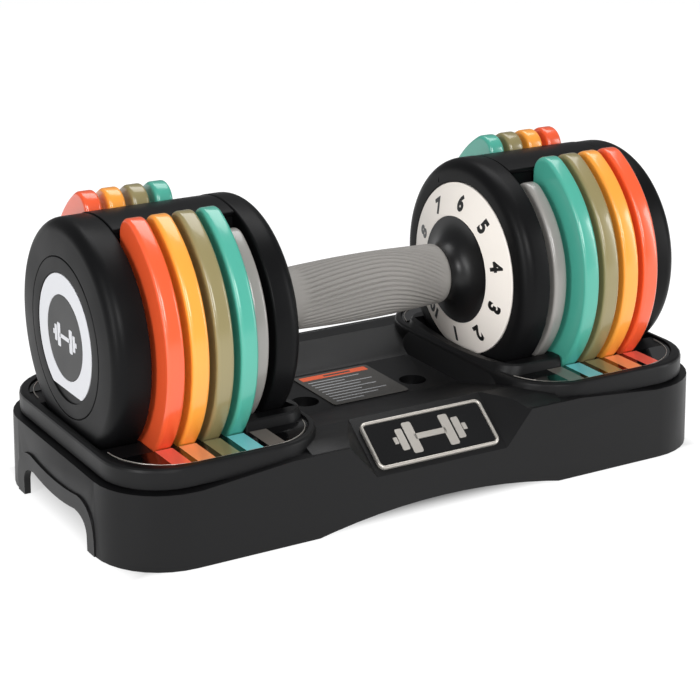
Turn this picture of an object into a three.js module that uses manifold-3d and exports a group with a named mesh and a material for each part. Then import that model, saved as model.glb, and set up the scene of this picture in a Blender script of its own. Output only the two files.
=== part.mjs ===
// Adjustable dumbbell on its storage tray. Millimetres, +Z up, +X along the handle, -Y is the front.
// The origin is on the ground under the middle of the tray.
import * as THREE from "three";
import { mergeVertices } from "three/addons/utils/BufferGeometryUtils.js";
import { ConvexGeometry } from "three/addons/geometries/ConvexGeometry.js";
import Module from "manifold-3d";

const wasm = await Module();
wasm.setup();

// ---------------------------------------------------------------- driving dimensions
const GAP = 0.3; // between pieces that touch
const AXIS_Z = 103.2; // height of the handle's axis when docked
const FACETS = 32; // facets round a large turned piece
const FINE_FACETS = 64; // round a slot that a plate or disc stands in
const INNER_FACETS = 20; // round a small piece inside a head

const TRAY = {
  halfLength: 189,
  halfDepth: 91.5,
  cornerRadius: 39.7,
  bottomZ: 0.8,
  shoulderZ: 42.5, // top of the lower wall at the ends
  middleShoulderZ: 47.5, // the same wall beside the badge
  tierInset: 5,
  tierBottomZ: 44.2,
  rimZ: 55.6,
  deckZ: 41,
  wall: 3,
};
const RIM = { innerX: 62, width: 3.6, innerCorner: 36, edgeRadius: 2.4 };
const WELL = {
  innerX: RIM.innerX + RIM.width,
  outerX: TRAY.halfLength - TRAY.tierInset - RIM.width,
  halfDepth: TRAY.halfDepth - TRAY.tierInset - RIM.width,
  corners: [36, RIM.innerCorner - RIM.width], // at the end of the tray, and towards the deck
  floorZ: 53.9,
  wall: 3,
};
const COLLAR = { footX: 56.5, topX: 65.5, outerX: 102.6, halfDepth: 56, topZ: 60, dipZ: 56.6 };

const DISC = { innerX: 70.8, outerX: 87.6, radius: 64.1, windowRadius: 51 };
const CAP = { innerX: 158.2, faceX: 179, radius: 63.4, edgeRadius: 6.5 };
const LABEL = { radius: 34.6, flatBelowAxis: 29.2 };
const DIAL = { innerX: 65.6, innerRadius: 31.6, outerX: 70.4, outerRadius: 50.5, thick: 2 };

const SLOT_HALF = 20.6; // the plates' open slot
const SLOT_BOTTOM = 16; // below the axis
const PLATE_PITCH = 13.9;
const COLOURED = { firstX: 103.5, thick: 9.9, radius: 75.6, lift: 1.2, corner: 10.5 };
const GREY = { x: 91.1, thick: 8.3, radius: 64, lift: 0.5, corner: 10 };

const AXLE_RADIUS = 6.3;
const SLEEVE = { inner: 6.8, outer: 9 };
const GRIP = { halfLength: 52.2, endRadius: 17.2, middleRadius: 18.9, bore: 14.3 };
const SETTING_STEP = 36; // degrees of dial for one kilogram
const SETTING_SHOWN = 7; // the figure at the pointer

const SLOT_CORNER = 12; // at the bottom of the slot
const TAB = { halfWidth: 3, innerRadius: 17, outerRadius: 21, proud: 2, narrowProud: 1.3 };
const SELECTOR = {
  hub: 9.3,
  flangeInner: 21.6,
  radius: 24,
  clear: 0.4,
  web: 1.2,
  flange: 2,
  narrow: { web: 0.9, flange: 1.45 }, // in the tighter gap beside the end cap
};
const INDEX = {
  innerX: 74.4,
  webX: 75.8,
  outerX: 79,
  flangeInner: 36,
  radius: 40,
  notchHalf: 3.3,
};
const LOCK = {
  stemHalfWidth: 3,
  stemInX: 79.5,
  stemOutX: 83.5,
  toothInX: 76.2,
  toothHalfWidth: 2.8,
  toothHeight: 4.4,
  toothTopBelowAxis: 31, // the slider stands raised while the dumbbell is docked
  seatBelowAxis: 20.5, // the spring's upper seat
};
const FRONT_ARCH = { halfWidth: 82, height: 9 };
const END_ARCH = { halfWidth: 43.2, springZ: 10, topZ: 19, shoulderY: 28, dipZ: 14 };
const ARCH_LIP = { width: 9, faceX: 189.6 }; // the raised frame round each end arch
const DECK = { frontY: -18.5, rearY: 38 }; // the level part between its two slopes
const BRIDGE = { radius: 63.8, halfWidth: 19.6, thick: 2.8 };
const SPINE = { halfWidth: 17.4, low: 27, high: 57.6, wall: 2.6 }; // heights above the axis

// ---------------------------------------------------------------- materials
const finish = (color, roughness, metalness = 0) => ({ color, roughness, metalness });
const FINISH = {
  trayPlastic: finish(0x232324, 0.42),
  casePlastic: finish(0x1c1c1d, 0.5),
  hubPlastic: finish(0x161617, 0.4),
  glossBlack: finish(0x0c0c0d, 0.15),
  red: finish(0xf0553a, 0.22),
  orange: finish(0xf7a136, 0.22),
  olive: finish(0x938c66, 0.24),
  teal: finish(0x48b49c, 0.22),
  grey: finish(0x9a9a9c, 0.25),
  rubber: finish(0x918e88, 0.65),
  footRubber: finish(0x2a2a2a, 0.8),
  dialWhite: finish(0xe6e0da, 0.35),
  labelGrey: finish(0xd4d5d8, 0.3),
  stickerGrey: finish(0x55565a, 0.45),
  steel: finish(0xb9bbbe, 0.3, 1),
  silver: finish(0xc9cacc, 0.25, 1),
};

// ---------------------------------------------------------------- solids
// A closed geometry as a solid. A turned profile may run either way, so it is faced outwards here.
function solid(geometry) {
  const bare = geometry.index ? geometry.toNonIndexed() : geometry.clone();
  for (const name of Object.keys(bare.attributes)) {
    if (name !== "position") bare.deleteAttribute(name);
  }
  const merged = mergeVertices(bare, 1e-4);
  const triVerts = new Uint32Array(merged.index.array);
  const vertProperties = new Float32Array(merged.attributes.position.array);
  const made = new wasm.Manifold(new wasm.Mesh({ numProp: 3, vertProperties, triVerts }));
  if (made.volume() > 0) return made;
  for (let i = 0; i < triVerts.length; i += 3) {
    [triVerts[i + 1], triVerts[i + 2]] = [triVerts[i + 2], triVerts[i + 1]];
  }
  return new wasm.Manifold(new wasm.Mesh({ numProp: 3, vertProperties, triVerts }));
}

function geometryOf(body) {
  const { numProp, vertProperties, triVerts } = body.getMesh();
  const positions = new Float32Array((vertProperties.length / numProp) * 3);
  for (let i = 0; i < positions.length / 3; i++) {
    positions.set(vertProperties.subarray(i * numProp, i * numProp + 3), i * 3);
  }
  return new THREE.BufferGeometry()
    .setAttribute("position", new THREE.BufferAttribute(positions, 3))
    .setIndex(new THREE.BufferAttribute(new Uint32Array(triVerts), 1));
}

const join = (...bodies) => bodies.reduce((a, b) => a.add(b));
const cut = (body, ...tools) => tools.reduce((a, b) => a.subtract(b), body);

// Axes for an outline drawn in (y, z) and extruded along +X, and for one in (x, z) along -Y.
const ALONG_X = new THREE.Matrix4().makeBasis(
  new THREE.Vector3(0, 1, 0),
  new THREE.Vector3(0, 0, 1),
  new THREE.Vector3(1, 0, 0),
);
const ALONG_Y = new THREE.Matrix4().makeBasis(
  new THREE.Vector3(1, 0, 0),
  new THREE.Vector3(0, 0, 1),
  new THREE.Vector3(0, -1, 0),
);
const TURNED_ON_X = new THREE.Matrix4().makeBasis(
  new THREE.Vector3(0, 1, 0),
  new THREE.Vector3(1, 0, 0),
  new THREE.Vector3(0, 0, -1),
);

function outline(points) {
  return points instanceof THREE.Shape
    ? points
    : new THREE.Shape(points.map(([a, b]) => new THREE.Vector2(a, b)));
}

function extrude(points, depth, curveSegments = 12) {
  return new THREE.ExtrudeGeometry(outline(points), { depth, bevelEnabled: false, curveSegments });
}

// An outline in (y, z) between two planes of x.
function prismX(points, x0, x1, curveSegments) {
  return solid(extrude(points, x1 - x0, curveSegments).applyMatrix4(ALONG_X).translate(x0, 0, 0));
}

// An outline in (x, z) between two planes of y.
function prismY(points, y0, y1) {
  return solid(extrude(points, y1 - y0).applyMatrix4(ALONG_Y).translate(0, y1, 0));
}

// An outline in (x, y) between two planes of z.
function prismZ(points, z0, z1, curveSegments) {
  return solid(extrude(points, z1 - z0, curveSegments).translate(0, 0, z0));
}

function box([x0, y0, z0], [x1, y1, z1]) {
  const geometry = new THREE.BoxGeometry(x1 - x0, y1 - y0, z1 - z0);
  return solid(geometry.translate((x0 + x1) / 2, (y0 + y1) / 2, (z0 + z1) / 2));
}

// A profile of [x, radius] pairs turned about the handle's axis.
function turned(profile, facets = FACETS) {
  const closed = profile[0][1] === 0 ? profile : [...profile, profile[0]];
  const points = closed.map(([x, r]) => new THREE.Vector2(r, x));
  const lathe = new THREE.LatheGeometry(points, facets);
  return solid(lathe.applyMatrix4(TURNED_ON_X).translate(0, 0, AXIS_Z));
}

const rod = (x0, x1, radius, facets) =>
  turned([[x0, 0], [x0, radius], [x1, radius], [x1, 0]], facets);
const tube = (x0, x1, inner, outer, facets) =>
  turned([[x0, inner], [x1, inner], [x1, outer], [x0, outer]], facets);

// The corner points of a rounded rectangle, counter-clockwise from +X.
function roundedRect([x0, y0], [x1, y1], radii, steps = 9) {
  const corners = [
    [x1, y0, -1, 1, -90],
    [x1, y1, -1, -1, 0],
    [x0, y1, 1, -1, 90],
    [x0, y0, 1, 1, 180],
  ];
  const [outer, inner] = radii;
  return corners.flatMap(([x, y, sx, sy, from], i) => {
    const r = i < 2 ? outer : inner;
    return Array.from({ length: steps + 1 }, (_, k) => {
      const a = THREE.MathUtils.degToRad(from + (90 * k) / steps);
      return [x + sx * r + r * Math.cos(a), y + sy * r + r * Math.sin(a)];
    });
  });
}

// A closed skin through rings of equal count, each ring a list of [x, y] at its own height.
function loft(rings) {
  const count = rings[0].points.length;
  const positions = rings.flatMap(({ z, points }) => points.flatMap(([x, y]) => [x, y, z]));
  const index = [];
  for (let k = 0; k + 1 < rings.length; k++) {
    for (let i = 0; i < count; i++) {
      const a = k * count + i;
      const b = k * count + ((i + 1) % count);
      index.push(a, b, b + count, a, b + count, a + count);
    }
  }
  const top = (rings.length - 1) * count;
  for (let i = 1; i + 1 < count; i++) {
    index.push(0, i + 1, i, top, top + i, top + i + 1);
  }
  const geometry = new THREE.BufferGeometry();
  geometry.setAttribute("position", new THREE.Float32BufferAttribute(positions, 3));
  geometry.setIndex(index);
  return solid(geometry);
}

// The mirror image on the other side of the middle plane x = 0.
function mirrored(body) {
  const geometry = geometryOf(body).scale(-1, 1, 1);
  return solid(geometry);
}

// ---------------------------------------------------------------- scene graph
const dumbbellOnTray = new THREE.Group();
const groups = {};
for (const name of ["tray", "handle_frame", "selector", "plates", "locks"]) {
  groups[name] = new THREE.Group();
  dumbbellOnTray.add(groups[name]);
}

function place(group, name, body, look) {
  const geometry = body instanceof THREE.BufferGeometry ? body : geometryOf(body);
  const mesh = new THREE.Mesh(geometry, new THREE.MeshStandardMaterial(look));
  mesh.name = name;
  groups[group].add(mesh);
}

// A piece drawn on the right (+X) side, and its mirror image on the left.
function placePair(group, name, body, look) {
  place(group, name + "_right", body, look);
  place(group, name + "_left", mirrored(body), look);
}

// ---------------------------------------------------------------- tray
// The skin of the lower wall: a rounded rectangle that leans in a little with height.
function trayOutline(inset, z0, z1) {
  const lean = 1 / 40;
  const ring = (z) => {
    const off = inset + lean * z;
    const x = TRAY.halfLength - off;
    const y = TRAY.halfDepth - off;
    const r = TRAY.cornerRadius - off;
    return { z, points: roundedRect([-x, -y], [x, y], [r, r]) };
  };
  return loft([ring(z0), ring(z1)]);
}

// The plates and the head's two end discs stand in round-bottomed slots about the handle's axis.
const slotFor = (x0, x1, radius, lift = 0) =>
  rod(x0, x1, radius, FINE_FACETS).translate([0, 0, lift]);

function platePositions() {
  const names = ["teal", "olive", "orange", "red"];
  const coloured = names.map((colour, i) => ({
    ...COLOURED,
    colour,
    x: COLOURED.firstX + i * PLATE_PITCH,
  }));
  return [{ ...GREY, colour: "grey" }, ...coloured];
}
const PLATES = platePositions();

function trayWall() {
  const sides = trayOutline(0, TRAY.bottomZ, 60);
  const { bottomZ, shoulderZ, middleShoulderZ, halfLength } = TRAY;
  // Seen from the front: feet at both ends, a low arch between them, a shoulder that climbs to the middle.
  const front = new THREE.Shape();
  front.moveTo(-halfLength - 2, bottomZ - 1);
  front.lineTo(-FRONT_ARCH.halfWidth, bottomZ - 1);
  front.quadraticCurveTo(-FRONT_ARCH.halfWidth / 2, FRONT_ARCH.height, 0, FRONT_ARCH.height);
  front.quadraticCurveTo(
    FRONT_ARCH.halfWidth / 2,
    FRONT_ARCH.height,
    FRONT_ARCH.halfWidth,
    bottomZ - 1,
  );
  front.lineTo(halfLength + 2, bottomZ - 1);
  front.lineTo(halfLength + 2, shoulderZ);
  front.lineTo(145, shoulderZ);
  front.lineTo(92, middleShoulderZ);
  front.lineTo(-92, middleShoulderZ);
  front.lineTo(-145, shoulderZ);
  front.lineTo(-halfLength - 2, shoulderZ);
  const lower = sides.intersect(prismY(front, -95, 95));
  // Seen from the end: the middle stands higher than the shoulder and dips to the deck under the grip.
  const dip = [
    [-62, 51.2], [DECK.frontY, TRAY.deckZ], [DECK.rearY, TRAY.deckZ], [65, 51.2],
  ];
  const crown = [
    [-95, 42], [-88, 47.6], [-78, 50.6], ...dip, [80, 50.6], [88, 47.6], [95, 42], [95, 30], [-95, 30],
  ];
  const valley = [[-62, 60], ...dip, [65, 60]];
  const middle = trayOutline(0.4, 25, 60).intersect(prismX(crown, -80, 80));
  return cut(join(lower, middle), prismX(valley, -80, 80));
}

// The raised rim round one well, with the groove that sets it off from the lower wall.
function wellRim() {
  const { halfLength, halfDepth, cornerRadius, tierInset, tierBottomZ, rimZ, shoulderZ } = TRAY;
  const ring = (inset, z) => {
    const far = tierInset + inset;
    const corners = [cornerRadius - far, RIM.innerCorner - inset];
    return {
      z,
      points: roundedRect(
        [RIM.innerX + inset, -halfDepth + far],
        [halfLength - far, halfDepth - far],
        corners,
      ),
    };
  };
  const groove = loft([ring(3.2, shoulderZ - 6), ring(3.2, tierBottomZ + 1)]);
  const rounding = [0, 30, 60, 90].map((deg) => {
    const a = THREE.MathUtils.degToRad(deg);
    return ring(RIM.edgeRadius * (1 - Math.cos(a)), rimZ - RIM.edgeRadius * (1 - Math.sin(a)));
  });
  const band = loft([ring(0, tierBottomZ), ...rounding]);
  return join(groove, band);
}

// The step that wraps the inner disc and the small plate, with a sloping face towards the deck. Its top
// dips in the middle like a saddle, which clears the grip's hub.
function collar() {
  const { footX, topX, outerX, halfDepth, topZ, dipZ } = COLLAR;
  const ring = (x, y, r, z) => ({ z, points: roundedRect([x, -y], [outerX, y], [1.5, r]) });
  const block = loft([
    ring(footX, halfDepth + 4, 18, 39),
    ring(topX - 1, halfDepth, 14, topZ - 1),
    ring(topX, halfDepth - 1, 13, topZ),
  ]);
  const halfSpan = 47;
  const rise = topZ - dipZ;
  const saddleRadius = (halfSpan * halfSpan + rise * rise) / (2 * rise);
  const half = Math.asin(halfSpan / saddleRadius);
  const saddle = new THREE.Shape();
  saddle.absarc(0, dipZ + saddleRadius, saddleRadius, -Math.PI / 2 - half, -Math.PI / 2 + half, false);
  return cut(block, prismX(saddle, footX - 5, outerX + 1, 8));
}

function wellHollow() {
  const { innerX, outerX, halfDepth, corners, floorZ } = WELL;
  return prismZ(roundedRect([innerX, -halfDepth], [outerX, halfDepth], corners), floorZ, 70);
}

// The deep part under a head, before its slots are cut: a round trough with a thin skin.
function trough() {
  const below = box([60, -80, 10], [186, 80, WELL.floorZ]);
  const deep = rod(COLLAR.outerX - 3, CAP.innerX + 1, COLOURED.radius + 4.2, FACETS);
  const inner = rod(66, COLLAR.outerX, DISC.radius + 3.6, FACETS);
  const outer = rod(CAP.innerX - 2, 183.5, CAP.radius + 4, FACETS);
  const inside = trayOutline(TRAY.tierInset + 1, 5, 60);
  return join(deep, inner, outer).intersect(below).intersect(inside);
}

function headSlots() {
  const plateSlots = PLATES.map((p) => {
    const side = 0.8;
    return slotFor(p.x - side, p.x + p.thick + side, p.radius + 0.6, p.lift);
  });
  const discSlot = slotFor(DISC.innerX - 2.8, DISC.outerX + 1.2, DISC.radius + 0.4);
  const hubSlot = slotFor(COLLAR.footX - 2, DISC.innerX, 41);
  const capSlot = slotFor(CAP.innerX - 0.8, CAP.faceX + 1.5, CAP.radius + 0.4);
  return join(discSlot, hubSlot, capSlot, ...plateSlots);
}

// The recess for the badge: an inclined bed with two flaring sides, open to the front.
const BADGE_BED = {
  low: new THREE.Vector3(41.8, -90, 28.5),
  high: new THREE.Vector3(42, -60, 51.2),
  flare: new THREE.Vector3(15.2, 0, 17.7),
};
function badgeRecess() {
  const { low, high, flare } = BADGE_BED;
  const ahead = low.clone().add(low.clone().sub(high).multiplyScalar(0.4));
  const one = [
    ahead,
    high,
    high.clone().addScaledVector(flare, 0.9),
    ahead.clone().addScaledVector(flare, 2.6),
  ];
  const other = one.map((p) => new THREE.Vector3(-p.x, p.y, p.z));
  return solid(new ConvexGeometry([...one, ...other]));
}

function underside() {
  const deckCavity = trayOutline(TRAY.wall, -1, TRAY.deckZ - TRAY.wall);
  // The hollow stops short of the badge's bed, which keeps a full wall behind it.
  const bedBack = [[-100, -5], [-87, 23], [-60, 43.5], [-60, 60], [-100, 60]];
  const low = cut(deckCavity, prismX(bedBack, -60, 60));
  // Under each well the hollow reaches up to the floor of the well.
  const top = WELL.floorZ - WELL.wall;
  const { outerX, halfDepth, corners } = WELL;
  const underWell = prismZ(roundedRect([70, -halfDepth], [outerX, halfDepth], corners), 30, top);
  const high = trayOutline(TRAY.tierInset + 6, 30, top).intersect(underWell);
  return join(low, high, mirrored(high));
}

// The arch between the two legs of each end wall, or an outline that runs outside it at a distance.
function archOutline(outside, footZ) {
  const { springZ, topZ, shoulderY, dipZ } = END_ARCH;
  const halfWidth = END_ARCH.halfWidth + outside;
  const top = topZ + outside;
  const arch = new THREE.Shape();
  arch.moveTo(-halfWidth, footZ);
  arch.lineTo(-halfWidth, springZ);
  arch.quadraticCurveTo(1.5 - halfWidth, top, -shoulderY - outside / 2, top);
  arch.quadraticCurveTo(0, dipZ + outside, shoulderY + outside / 2, top);
  arch.quadraticCurveTo(halfWidth - 1.5, top, halfWidth, springZ);
  arch.lineTo(halfWidth, footZ);
  return arch;
}

function endArch() {
  return prismX(archOutline(0, -2), TRAY.halfLength - 29, TRAY.halfLength + 6, 8);
}

// A raised frame round the arch, which the arch is then cut through.
function archLip() {
  return prismX(archOutline(ARCH_LIP.width, TRAY.bottomZ), TRAY.halfLength - 3, ARCH_LIP.faceX, 8);
}

// A screw hole through the deck, in a short tube that hangs below it.
const DECK_HOLE = { x: 36, y: -1.5, radius: 8, wall: 2.5, tubeLowZ: 31.2 };
function deckHoleTube() {
  const { x, y, radius, wall, tubeLowZ } = DECK_HOLE;
  const height = TRAY.deckZ - 1.5 - tubeLowZ;
  return solid(
    new THREE.CylinderGeometry(radius + wall, radius + wall, height, 24)
      .rotateX(Math.PI / 2)
      .translate(x, y, tubeLowZ + height / 2),
  );
}
function deckHole() {
  const { x, y, radius } = DECK_HOLE;
  return solid(
    new THREE.CylinderGeometry(radius, radius, 20, 24).rotateX(Math.PI / 2).translate(x, y, 38),
  );
}

const FOOT = { x: 158, y: 64, radius: 9, height: 1.6 };
// A boss that carries a rubber foot, and the post that lifts the lock when the dumbbell is docked.
function footBoss(sy) {
  const { x, y, radius, height } = FOOT;
  return box([x - radius - 3, sy * y - radius - 3, height], [x + radius + 3, sy * y + radius + 3, 40]);
}
const LOCK_X = (LOCK.stemInX + LOCK.stemOutX) / 2;
const LOCK_FOOT_Z = AXIS_Z - DISC.radius + 1.1; // the stem's lower end when docked
function lockPost() {
  const height = LOCK_FOOT_Z - GAP - 34;
  return solid(
    new THREE.CylinderGeometry(1.6, 2, height, 16)
      .rotateX(Math.PI / 2)
      .translate(LOCK_X, 0, 34 + height / 2),
  );
}

function trayShell() {
  const right = join(wellRim(), collar());
  const raised = join(trayWall(), right, mirrored(right));
  const hollowed = cut(raised, wellHollow(), mirrored(wellHollow()), underside(), badgeRecess());
  const under = cut(join(trough(), footBoss(1), footBoss(-1)), wellHollow());
  const added = join(collarCore(), under, archLip(), deckHoleTube());
  const filled = join(hollowed, added, mirrored(added));
  const cuts = join(headSlots(), endArch(), deckHole());
  const finished = cut(filled, cuts, mirrored(cuts));
  return join(finished, lockPost(), mirrored(lockPost()));
}

// The collar stands in the well's hollow, so it is put back after the hollow is cut.
function collarCore() {
  return collar().intersect(box([WELL.innerX - 2, -90, WELL.floorZ - 4], [110, 90, 70]));
}

place("tray", "tray_shell", trayShell(), FINISH.trayPlastic);

for (const [end, sx] of [["left", -1], ["right", 1]]) {
  for (const [side, sy] of [["front", -1], ["rear", 1]]) {
    const { x, y, radius, height } = FOOT;
    const pad = new THREE.CylinderGeometry(radius, radius - 0.6, height - GAP, 24)
      .rotateX(Math.PI / 2)
      .translate(sx * x, sy * y, (height - GAP) / 2);
    place("tray", `foot_${end}_${side}`, pad, FINISH.footRubber);
  }
}

// The badge lies on the inclined bed: a black plate inside a silver frame.
const bedSlope = Math.atan2(
  BADGE_BED.high.z - BADGE_BED.low.z,
  BADGE_BED.high.y - BADGE_BED.low.y,
);
const BADGE = { halfWidth: 39, halfHeight: 15, corner: 4, rim: 1.9, thick: 2.2, plate: 1.2 };
function onBed(body) {
  const along = BADGE_BED.low.clone().lerp(BADGE_BED.high, 0.46);
  return geometryOf(body)
    .translate(0, 0, GAP)
    .rotateX(bedSlope)
    .translate(0, along.y, along.z);
}
function badgeOutline(inset) {
  const { halfWidth, halfHeight, corner } = BADGE;
  const r = corner - inset;
  return roundedRect(
    [-halfWidth + inset, -halfHeight + inset],
    [halfWidth - inset, halfHeight - inset],
    [r, r],
    4,
  );
}
place(
  "tray",
  "badge_frame",
  onBed(cut(prismZ(badgeOutline(0), 0, BADGE.thick), prismZ(badgeOutline(BADGE.rim), -1, 5))),
  FINISH.silver,
);
place(
  "tray",
  "badge_plate",
  onBed(prismZ(badgeOutline(BADGE.rim + GAP), 0, BADGE.plate)),
  FINISH.glossBlack,
);

// The information label on the deck under the grip.
const LABEL_SHEET = 0.4;
const deckLabel = roundedRect([-25, -16], [25, 34], [2.5, 2.5], 3);
place(
  "tray",
  "deck_label",
  prismZ(deckLabel, TRAY.deckZ + GAP, TRAY.deckZ + GAP + LABEL_SHEET),
  FINISH.stickerGrey,
);

// The printed colour gauge on the floor of each well, in front of the plates, and its twin at the rear.
const GAUGE_INNER_Y = 57.6;
function gaugePanel() {
  const { innerX, outerX, halfDepth, corners, floorZ } = WELL;
  const margin = 0.8;
  const plan = roundedRect(
    [innerX + margin, -halfDepth + margin],
    [outerX - margin, halfDepth],
    corners.map((r) => r - margin),
  );
  const low = floorZ + GAP;
  const sheet = prismZ(plan, low, low + LABEL_SHEET);
  const clearOfPlates = box([60, -GAUGE_INNER_Y, 35], [190, 90, 65]);
  const clearOfCollar = box([60, -COLLAR.halfDepth - 2, 35], [COLLAR.outerX + 0.6, 90, 65]);
  return cut(sheet, clearOfPlates, clearOfCollar);
}
placePair("tray", "gauge_panel_front", gaugePanel(), FINISH.glossBlack);
placePair("tray", "gauge_panel_rear", gaugePanel().mirror([0, 1, 0]), FINISH.glossBlack);

// ---------------------------------------------------------------- handle frame
// A steel axle joins the two heads. Each head is a cup-shaped disc, an end cap, a spine and a bridge.
place("handle_frame", "core_axle", rod(-171, 171, AXLE_RADIUS, 24), FINISH.steel);

function innerDisc() {
  const { innerX, outerX, radius, windowRadius } = DISC;
  const edge = 8;
  const wall = 3;
  const arc = [0, 45, 90].map((deg) => {
    const a = THREE.MathUtils.degToRad(deg);
    return [innerX + edge - edge * Math.cos(a), radius - edge + edge * Math.sin(a)];
  });
  const cup = turned([
    [innerX, windowRadius],
    ...arc,
    [outerX - 1.2, radius],
    [outerX, radius - 1.2],
    [outerX, SLEEVE.outer + 1],
    [outerX - wall, SLEEVE.outer + 1],
    [outerX - wall, windowRadius],
  ]);
  const slide = LOCK.stemHalfWidth + 0.4;
  const guide = box(
    [LOCK.stemInX - 0.4, -slide, AXIS_Z - radius - 2],
    [LOCK.stemOutX + 0.4, slide, AXIS_Z - windowRadius + 2],
  );
  const seat = box(
    [LOCK.stemInX + 0.2, -4, AXIS_Z - LOCK.seatBelowAxis],
    [outerX - wall + 0.5, 4, AXIS_Z - 17.5],
  );
  return join(cut(cup, guide), seat);
}
placePair("handle_frame", "inner_disc", innerDisc(), FINISH.casePlastic);

// The cap's face is slightly domed, with a shallow seat for its label.
function endCap() {
  const { innerX, faceX, radius, edgeRadius } = CAP;
  const arc = [0, 45, 90].map((deg) => {
    const a = THREE.MathUtils.degToRad(deg);
    return [
      faceX - 0.5 - edgeRadius + edgeRadius * Math.sin(a),
      radius - edgeRadius + edgeRadius * Math.cos(a),
    ];
  });
  return turned([
    [innerX, AXLE_RADIUS + GAP],
    [innerX, radius - 0.8],
    [innerX + 0.8, radius],
    ...arc,
    [faceX, 44],
    [faceX, LABEL.radius + 0.9],
    [faceX - 0.9, LABEL.radius + 0.5],
    [faceX - 0.9, 12],
    [faceX - 12, 12],
    [faceX - 12, AXLE_RADIUS + GAP],
  ]);
}
placePair("handle_frame", "end_cap", endCap(), FINISH.casePlastic);

// The nut that clamps the cap to the axle, behind the round label.
const axleNut = () => cut(rod(167.4, 173, 10.5, 6), rod(167, 174, AXLE_RADIUS + GAP, 24));
placePair("handle_frame", "axle_nut", axleNut(), FINISH.steel);

// A round printed label with a flat lower edge. It covers the nut.
function capLabel() {
  const x0 = CAP.faceX - 0.9 + GAP;
  const sheet = rod(x0, x0 + 0.7, LABEL.radius);
  const below = box([170, -50, AXIS_Z - 60], [190, 50, AXIS_Z - LABEL.flatBelowAxis]);
  return cut(sheet, below);
}
placePair("handle_frame", "cap_label", capLabel(), FINISH.labelGrey);

const HEAD_SPAN = [DISC.outerX + GAP, CAP.innerX - GAP];
function bridge() {
  const { radius, halfWidth, thick } = BRIDGE;
  const shell = tube(...HEAD_SPAN, radius - thick, radius, 64);
  const above = box([80, -halfWidth, AXIS_Z + 40], [165, halfWidth, AXIS_Z + 70]);
  return shell.intersect(above);
}
placePair("handle_frame", "bridge", bridge(), FINISH.casePlastic);

// The spine is an open channel under the bridge. It ties the disc to the cap above the shaft.
function spine() {
  const [x0, x1] = HEAD_SPAN;
  const { halfWidth: half, wall } = SPINE;
  const low = AXIS_Z + SPINE.low;
  const high = AXIS_Z + SPINE.high;
  const channel = [
    [-half, low], [half, low], [half, high], [half - wall, high], [half - wall, low + wall],
    [-half + wall, low + wall], [-half + wall, high], [-half, high],
  ];
  return prismX(channel, x0, x1);
}
placePair("handle_frame", "spine", spine(), FINISH.casePlastic);

// ---------------------------------------------------------------- selector
// The grip, both dials and every selector disc turn together on the axle.
function gripSleeve() {
  const { halfLength, endRadius, middleRadius, bore } = GRIP;
  const stations = [-1, -0.97, -0.5, 0, 0.5, 0.97, 1];
  const skin = stations.map((s) => {
    const swell = (middleRadius - endRadius) * Math.cos((s * Math.PI) / 2);
    const edge = Math.abs(s) === 1 ? 0.8 : 0;
    return [s * halfLength, endRadius + swell - edge];
  });
  return turned([[-halfLength, bore], ...skin, [halfLength, bore]], 28);
}
place("selector", "grip", gripSleeve(), FINISH.rubber);
place("selector", "grip_core", tube(-56, 56, 10.6, GRIP.bore - GAP, 24), FINISH.steel);

// The hub flares like a trumpet from the grip to the dial.
function dialHub() {
  const neckX = GRIP.halfLength + GAP;
  const flare = [
    [neckX, 15.8], [56, 16.2], [60, 18.8], [63, 23.4], [65.5, 31.3],
  ];
  const bore = SLEEVE.outer + GAP;
  return turned([
    [neckX, GRIP.bore + GAP],
    ...flare,
    [72, 31.3],
    [72, bore],
    [56.6, bore],
    [56.6, GRIP.bore + GAP],
  ], 24);
}
placePair("selector", "dial_hub", dialHub(), FINISH.hubPlastic);

function dialRing() {
  const { innerX, innerRadius, outerX, outerRadius, thick } = DIAL;
  return turned([
    [innerX, innerRadius],
    [outerX, outerRadius],
    [outerX + thick, outerRadius],
    [innerX + thick, innerRadius],
  ]);
}
placePair("selector", "dial_ring", dialRing(), FINISH.dialWhite);

// The index ring has ten notches on its inner side for the lock, one for each setting.
function indexRing() {
  const bore = SLEEVE.outer + GAP;
  const { innerX, webX, outerX, flangeInner, radius, notchHalf } = INDEX;
  const ring = turned([
    [innerX, bore],
    [innerX, radius],
    [outerX, radius],
    [outerX, flangeInner],
    [webX, flangeInner],
    [webX, bore],
  ], INNER_FACETS);
  const notch = box(
    [webX, -notchHalf, AXIS_Z - radius + 0.8],
    [outerX + 1, notchHalf, AXIS_Z - flangeInner + 2],
  );
  const notches = Array.from({ length: 10 }, (_, k) => aboutAxis(notch, k * SETTING_STEP));
  return cut(ring, ...notches);
}

// Turned about the handle's axis by the right-hand rule on +X.
function aboutAxis(body, degrees) {
  return body.translate([0, 0, -AXIS_Z]).rotate([degrees, 0, 0]).translate([0, 0, AXIS_Z]);
}
placePair("selector", "index_ring", indexRing(), FINISH.steel);

placePair(
  "selector",
  "selector_sleeve",
  tube(57, CAP.innerX - 0.4, SLEEVE.inner, SLEEVE.outer, INNER_FACETS),
  FINISH.steel,
);

// Each plate has its own selector disc in the gap outside it. A raised flange runs under the plate's
// tab at the settings that carry the plate, and is open at the others.
// Each pair is a first and last setting.
const CARRIED_AT = {
  grey: [[2, 2], [4, 4], [6, 6], [8, 8], [10, 10]],
  teal: [[3, 10]],
  olive: [[5, 10]],
  orange: [[7, 10]],
  red: [[9, 10]],
};
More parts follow.
